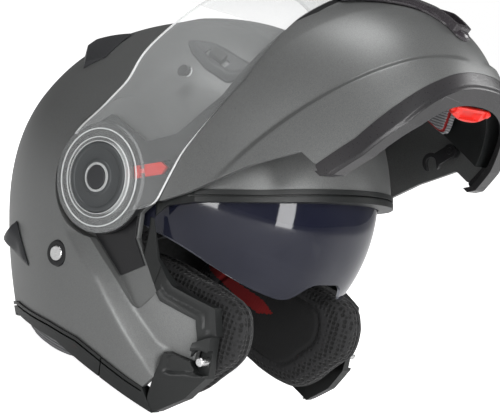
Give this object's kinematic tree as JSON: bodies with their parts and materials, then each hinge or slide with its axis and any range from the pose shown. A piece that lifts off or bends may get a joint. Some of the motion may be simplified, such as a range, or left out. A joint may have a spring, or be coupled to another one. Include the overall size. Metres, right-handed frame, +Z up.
{
  "type": "modular motorcycle helmet",
  "caption": "Flip-up full-face helmet on its rim: chin bar raised, clear visor shut, tinted sun visor down, padded inside.",
  "frame": {"origin": "on the ground plane that the rim stands on, straight below the chin bar's pivot axis, in the middle plane", "axes": "+X to the wearer's left, -Y the way the face looks, +Z up"},
  "size_m": [0.2424, 0.36, 0.3163],
  "materials": {
    "shell_paint": "matt anthracite with a fine metal flake",
    "black_trim": "matt black moulded plastic",
    "grey_plastic": "satin dark grey",
    "vent_plastic": "satin dark grey",
    "clear_visor": "clear polycarbonate",
    "smoke_visor": "dark blue-grey smoke",
    "red_plastic": "satin red",
    "red_lever": "satin red paint on die-cast metal",
    "steel": "turned steel",
    "foam": "black beaded foam",
    "black_fabric": "spacer mesh and knit",
    "grey_fabric": "ribbed knit"
  },
  "bodies": {
    "helmet": {"outer_shell": "shell_paint", "rim_trim": "black_trim", "brow_trim": "black_trim", "impact_liner": "foam", "crown_pad": "black_fabric", "neck_roll": "grey_fabric", "opening_strip_right": "black_trim", "opening_strip_left": "black_trim", "side_plate_right": "black_trim", "side_plate_left": "black_trim", "latch_housing_right": "black_trim", "latch_housing_left": "black_trim", "latch_pin_right": "steel", "latch_pin_left": "steel", "rivet_washer_right": "black_trim", "rivet_washer_left": "black_trim", "strap_rivet_right": "steel", "strap_rivet_left": "steel", "sun_hinge_pin_right": "black_trim", "sun_hinge_pin_left": "black_trim", "cheek_pad_right": "black_fabric", "cheek_pad_left": "black_fabric", "cheek_base_right": "foam", "cheek_base_left": "foam", "forehead_vent_right": "vent_plastic", "forehead_vent_left": "vent_plastic", "rear_fin_right": "vent_plastic", "rear_fin_left": "vent_plastic", "side_outlet_right": "vent_plastic", "side_outlet_left": "vent_plastic", "pivot_hub_right": "black_trim", "pivot_hub_left": "black_trim"},
    "chin_bar": {"chin_bar_shell": "shell_paint", "chin_lower_trim": "black_trim", "chin_vent_cover": "vent_plastic", "chin_liner": "black_trim", "chin_pad_right": "grey_fabric", "chin_pad_left": "grey_fabric", "pivot_cover_right": "vent_plastic", "pivot_cover_left": "vent_plastic"},
    "visor": {"visor": "clear_visor", "anti_fog_pin_right": "black_trim", "anti_fog_pin_left": "black_trim"},
    "sun_visor": {"sun_visor": "smoke_visor"},
    "sun_slider": {"sun_visor_slider": "black_trim"},
    "vent_slider_right": {"forehead_slider_right": "black_trim"},
    "vent_slider_left": {"forehead_slider_left": "black_trim"},
    "release_lever": {"release_lever": "red_lever"},
    "hook_right": {"latch_hook_right": "steel"},
    "hook_left": {"latch_hook_left": "steel"},
    "chin_shutter": {"chin_vent_shutter": "vent_plastic"},
    "lock_right": {"visor_lock_right": "red_plastic"},
    "lock_left": {"visor_lock_left": "red_plastic"}
  },
  "joints": [
    {"name": "chin_bar_lift", "type": "hinge", "parent": "helmet", "child": "chin_bar", "pos_m": [0, 0, 0.141], "axis": [-1, 0, 0], "range_deg": [-68, 0]},
    {"name": "visor_lift", "type": "hinge", "parent": "chin_bar", "child": "visor", "pos_m": [0, 0, 0.141], "axis": [-1, 0, 0], "range_deg": [0, 50]},
    {"name": "sun_visor_swing", "type": "hinge", "parent": "helmet", "child": "sun_visor", "pos_m": [0, -0.01106, 0.13945], "axis": [-1, 0, 0], "range_deg": [0, 45]},
    {"name": "sun_visor_slide", "type": "slide", "parent": "helmet", "child": "sun_slider", "axis": [-0.2924, 0.9563, 0], "range_m": [0, 0.022]},
    {"name": "vent_slide_right", "type": "slide", "parent": "helmet", "child": "vent_slider_right", "axis": [0, -0.9696, -0.2446], "range_m": [-0.004, 0.004]},
    {"name": "vent_slide_left", "type": "slide", "parent": "helmet", "child": "vent_slider_left", "axis": [0, -0.9696, -0.2446], "range_m": [-0.004, 0.004]},
    {"name": "lever_pull", "type": "hinge", "parent": "chin_bar", "child": "release_lever", "pos_m": [0, -0.19711, 0.25399], "axis": [-1, 0, 0], "range_deg": [0, 15], "stiffness_Nm_per_rad": 0.05, "springref_deg": -11.46},
    {"name": "hook_turn_right", "type": "hinge", "parent": "chin_bar", "child": "hook_right", "pos_m": [-0.0905, -0.14056, 0.21676], "axis": [1, 0, 0], "range_deg": [0, 8]},
    {"name": "hook_turn_left", "type": "hinge", "parent": "chin_bar", "child": "hook_left", "pos_m": [0.0905, -0.14056, 0.21676], "axis": [1, 0, 0], "range_deg": [0, 8]},
    {"name": "chin_shutter_slide", "type": "slide", "parent": "chin_bar", "child": "chin_shutter", "axis": [1, 0, 0], "range_m": [-0.003, 0.003]},
    {"name": "lock_slide_right", "type": "slide", "parent": "chin_bar", "child": "lock_right", "axis": [0, -0.9135, 0.4067], "range_m": [-0.0028, 0.0028]},
    {"name": "lock_slide_left", "type": "slide", "parent": "chin_bar", "child": "lock_left", "axis": [0, -0.9135, 0.4067], "range_m": [-0.0028, 0.0028]}
  ],
  "couplings": [
    {"joint": "sun_visor_slide", "follows": "sun_visor_swing", "m_per_rad": 0.028},
    {"joint": "hook_turn_right", "follows": "lever_pull", "ratio": 0.53},
    {"joint": "hook_turn_left", "follows": "lever_pull", "ratio": 0.53}
  ]
}
